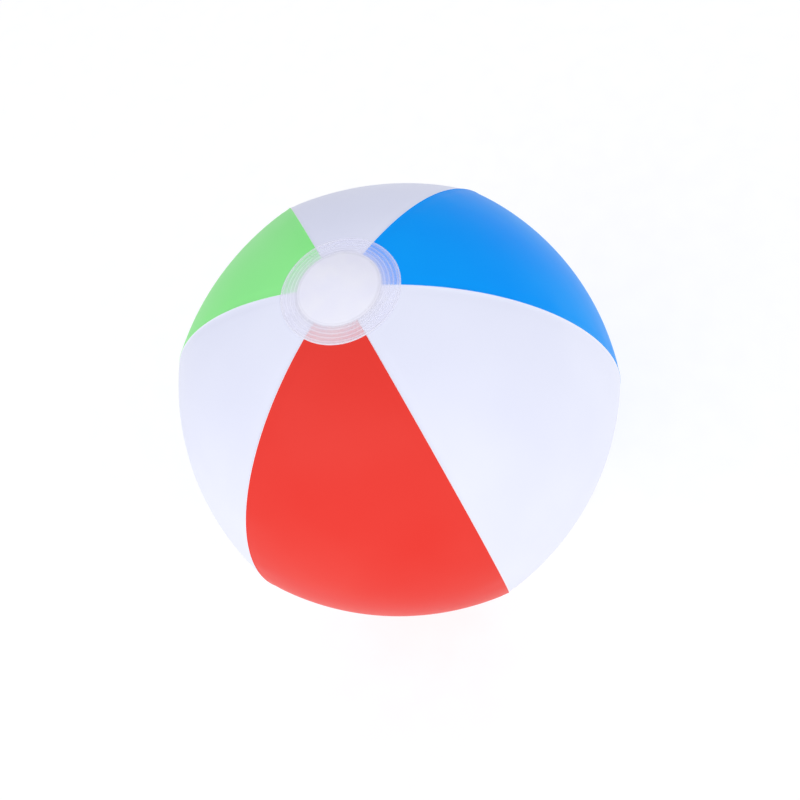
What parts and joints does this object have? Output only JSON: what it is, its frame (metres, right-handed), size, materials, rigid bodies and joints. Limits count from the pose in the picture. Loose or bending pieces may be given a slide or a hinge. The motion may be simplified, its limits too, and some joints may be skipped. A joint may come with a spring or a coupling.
{
  "type": "inflatable beach ball",
  "caption": "Inflatable vinyl beach ball with coloured and white welded panels, milky end discs and a push-in valve with a captive plug.",
  "frame": {"origin": "centre of the ball's bounding box, which is the centre of the inflated ball", "axes": "+Z along the pole axis towards the plain end disc; the seam between the red panel and the white panel with the valve runs down the -Y side; +X through the middle of the blue panel; the valve is on the lower half, on the white panel centred 60 degrees from +X towards -Y"},
  "size_m": [0.3211, 0.33, 0.3118],
  "materials": {
    "red_vinyl": "glossy calendered PVC film, coloured right through",
    "blue_vinyl": "glossy calendered PVC film, coloured right through",
    "green_vinyl": "glossy calendered PVC film, coloured right through",
    "white_vinyl": "glossy calendered PVC film, opaque white",
    "clear_white_vinyl": "glossy milky PVC film that lets a little light through",
    "valve_vinyl": "soft moulded PVC, smooth from the mould",
    "plug_vinyl": "soft moulded PVC, smooth from the mould"
  },
  "bodies": {
    "ball": {"red_panel": "red_vinyl", "blue_panel": "blue_vinyl", "green_panel": "green_vinyl", "white_panel_1": "white_vinyl", "white_panel_2": "white_vinyl", "white_panel_3": "white_vinyl", "plain_end_disc": "clear_white_vinyl", "valve_end_disc": "clear_white_vinyl", "valve_flange": "valve_vinyl", "valve_cup": "valve_vinyl"},
    "stem": {"valve_stem": "valve_vinyl", "strap_collar": "valve_vinyl", "flap_anchor": "valve_vinyl"},
    "stopper": {"plug": "plug_vinyl", "plug_strap": "plug_vinyl"},
    "flap": {"check_flap": "valve_vinyl"}
  },
  "joints": [
    {"name": "valve_slide", "type": "slide", "parent": "ball", "child": "stem", "axis": [0.341, -0.5906, -0.7314], "range_m": [0, 0.016], "deforming": ["valve_cup"]},
    {"name": "plug_swing", "type": "hinge", "parent": "stem", "child": "stopper", "pos_m": [0.0576, -0.09976, -0.10536], "axis": [-0.866, -0.5, 0], "range_deg": [0, 85]},
    {"name": "check_swing", "type": "hinge", "parent": "stem", "child": "flap", "pos_m": [0.05197, -0.09001, -0.09775], "axis": [0.866, 0.5, 0], "range_deg": [0, 60]}
  ]
}
